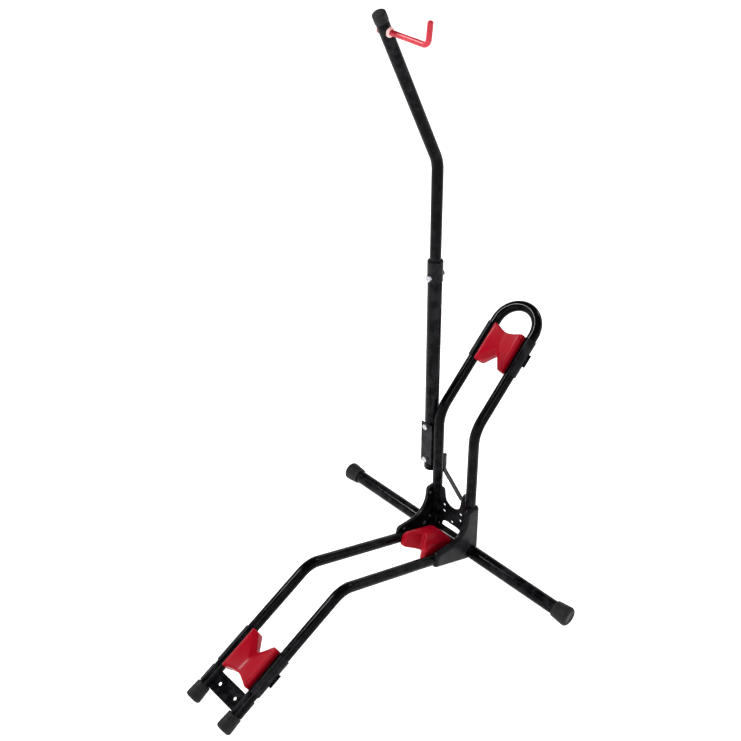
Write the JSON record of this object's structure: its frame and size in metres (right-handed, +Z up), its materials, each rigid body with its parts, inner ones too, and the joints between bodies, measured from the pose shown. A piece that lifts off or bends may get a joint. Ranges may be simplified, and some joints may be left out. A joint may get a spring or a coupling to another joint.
{
  "type": "bicycle floor stand",
  "caption": "Free-standing bicycle stand: sloped twin-rail wheel track with red saddles, leaning hoop, wide cross foot and a telescopic post with a coated hook.",
  "frame": {"origin": "middle of the stand's footprint box, on the floor", "axes": "+Z up, X across the wheel slot, -Y towards the low front end of the wheel track, +Y towards the leaning hoop"},
  "size_m": [0.558, 0.7522, 0.9816],
  "materials": {
    "black_paint": "gloss powder coat",
    "red_pad": "glossy moulded, slightly flexible",
    "red_coating": "dipped vinyl, glossy",
    "pale_plastic": "satin",
    "rubber": "matt",
    "black_plastic": "satin",
    "zinc": "bright zinc",
    "dark_steel": "black oxide"
  },
  "bodies": {
    "stand": {"hoop_tube": "black_paint", "left_track_tube": "black_paint", "right_track_tube": "black_paint", "cross_tube": "black_paint", "front_left_foot": "rubber", "front_right_foot": "rubber", "left_end_foot": "rubber", "right_end_foot": "rubber", "left_cheek": "black_paint", "right_cheek": "black_paint", "rear_web_plate": "black_paint", "centre_pad_seat": "black_paint", "cheek_screws": "zinc", "front_pad": "red_pad", "top_pad": "red_pad", "centre_pad": "red_pad", "front_left_pad_clip": "black_plastic", "front_right_pad_clip": "black_plastic", "front_pad_strap": "black_paint", "top_left_pad_clip": "black_plastic", "top_right_pad_clip": "black_plastic", "top_pad_strap": "black_paint", "front_tie_plate": "black_paint", "lower_post": "black_paint", "post_bottom_plug": "black_plastic", "post_collar": "black_plastic", "collar_screw": "zinc", "collar_stud": "dark_steel", "post_clamp": "black_paint", "clamp_bolts": "zinc", "clamp_nuts": "zinc", "stay_rod": "black_paint"},
    "post_arm": {"upper_post": "black_paint", "post_top_cap": "rubber", "upper_post_plug": "black_plastic", "hook": "red_coating", "hook_grommet": "pale_plastic", "hook_push_nut": "red_coating"}
  },
  "joints": [
    {"name": "post_height", "type": "slide", "parent": "stand", "child": "post_arm", "axis": [0, 0, 1], "range_m": [-0.13, 0.12]}
  ]
}
